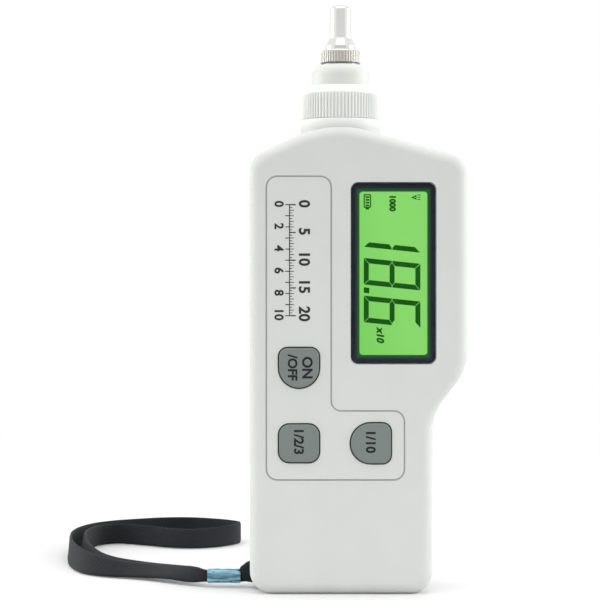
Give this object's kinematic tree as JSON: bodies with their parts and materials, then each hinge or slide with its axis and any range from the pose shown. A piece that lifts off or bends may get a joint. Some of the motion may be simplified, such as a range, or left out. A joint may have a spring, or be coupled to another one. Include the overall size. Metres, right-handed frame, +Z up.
{
  "type": "handheld vibration meter",
  "caption": "Handheld vibration meter with a stepped case, a lit display, three keys, a screw-in probe on a ribbed collar, a battery door and a wrist strap.",
  "frame": {"origin": "the point of the base, where the meter stands, that lies under the probe's axis", "axes": "+X to the right seen from the front, +Y from the front to the back, +Z up along the probe's axis"},
  "size_m": [0.1333, 0.1436, 0.183],
  "materials": {
    "case_plastic": "finely textured warm light grey ABS",
    "collar_plastic": "smooth off-white moulded plastic",
    "label_film": "satin printed film",
    "key_rubber": "satin grey silicone",
    "clear_cover": "clear polished acrylic",
    "mask_ink": "dark print behind the cover",
    "frame_plastic": "black moulded",
    "display_glass": "green lit liquid-crystal cell",
    "display_ink": "dark liquid-crystal segments",
    "guide_acrylic": "milky acrylic",
    "led_resin": "yellowish resin",
    "strip_rubber": "layered elastomer",
    "board_laminate": "green solder mask",
    "chip_resin": "moulded black resin",
    "steel": "zinc-plated",
    "can_steel": "turned stainless",
    "capacitor_can": "sleeved aluminium can",
    "piezo_ceramic": "fired, gold electrodes",
    "isolator_rubber": "matt black",
    "nickel": "nickel-plated knurl",
    "chrome": "polished",
    "cable_sheath": "matt black",
    "socket_plastic": "cream nylon",
    "battery_jacket": "lacquered, unprinted",
    "snap_plastic": "moulded black",
    "red_sheath": "red insulation",
    "foam": "open foam",
    "webbing": "black woven nylon",
    "sleeve_plastic": "blue shrunk sleeve"
  },
  "bodies": {
    "case": {"front_shell": "case_plastic", "rear_shell": "case_plastic", "case_screws": "steel", "front_label": "label_film", "display_cover": "clear_cover", "cover_mask": "mask_ink", "display_frame": "frame_plastic", "display_cell": "display_glass", "display_digits": "display_ink", "light_guide": "guide_acrylic", "guide_leds": "led_resin", "contact_strips": "strip_rubber", "main_board": "board_laminate", "board_screws": "steel", "controller_chip": "chip_resin", "amplifier_chips": "chip_resin", "crystal": "can_steel", "capacitors": "capacitor_can", "chip_resistors": "chip_resin", "key_switches": "chip_resin", "sensor_can": "can_steel", "sensor_lid": "can_steel", "piezo_disc": "piezo_ceramic", "seismic_mass": "can_steel", "sensor_isolator": "isolator_rubber", "sensor_nose": "collar_plastic", "sensor_cable": "cable_sheath", "sensor_socket": "socket_plastic", "battery": "battery_jacket", "battery_terminals": "steel", "battery_snap": "snap_plastic", "lead_red": "red_sheath", "lead_black": "cable_sheath", "battery_pad": "foam", "strap_pin": "steel", "strap_tail": "webbing", "strap_sleeve": "sleeve_plastic", "strap_loop": "webbing"},
    "door": {"battery_door": "case_plastic"},
    "meas_button": {"meas_key": "key_rubber", "meas_plunger": "socket_plastic"},
    "mode_button": {"mode_key": "key_rubber", "mode_plunger": "socket_plastic"},
    "range_button": {"range_key": "key_rubber", "range_plunger": "socket_plastic"},
    "collar_ring": {"collar_washer": "snap_plastic"},
    "collar_body": {"collar": "collar_plastic"},
    "probe_ring": {"probe_washer": "steel"},
    "probe_body": {"probe_nut": "nickel", "probe_tip": "chrome"}
  },
  "joints": [
    {"name": "meas_key_press", "type": "slide", "parent": "case", "child": "meas_button", "axis": [0, 1, 0], "range_m": [0, 0.0005], "stiffness_N_per_m": 300},
    {"name": "mode_key_press", "type": "slide", "parent": "case", "child": "mode_button", "axis": [0, 1, 0], "range_m": [0, 0.0005], "stiffness_N_per_m": 300},
    {"name": "range_key_press", "type": "slide", "parent": "case", "child": "range_button", "axis": [0, 1, 0], "range_m": [0, 0.0005], "stiffness_N_per_m": 300},
    {"name": "battery_door_slide", "type": "slide", "parent": "case", "child": "door", "axis": [0, 0, -1], "range_m": [0, 0.056]},
    {"name": "collar_lift", "type": "slide", "parent": "case", "child": "collar_ring", "axis": [0, 0, 1], "range_m": [0, 0.006]},
    {"name": "collar_turn", "type": "hinge", "parent": "collar_ring", "child": "collar_body", "pos_m": [0, 0, 0.15], "axis": [0, 0, 1], "range_deg": [0, 1080]},
    {"name": "probe_lift", "type": "slide", "parent": "case", "child": "probe_ring", "axis": [0, 0, 1], "range_m": [0, 0.0056]},
    {"name": "probe_turn", "type": "hinge", "parent": "probe_ring", "child": "probe_body", "pos_m": [0, 0, 0.17], "axis": [0, 0, 1], "range_deg": [0, 2520]}
  ],
  "couplings": [
    {"joint": "collar_lift", "follows": "collar_turn", "m_per_rad": 0.0003183},
    {"joint": "probe_lift", "follows": "probe_turn", "m_per_rad": 0.00012732}
  ]
}
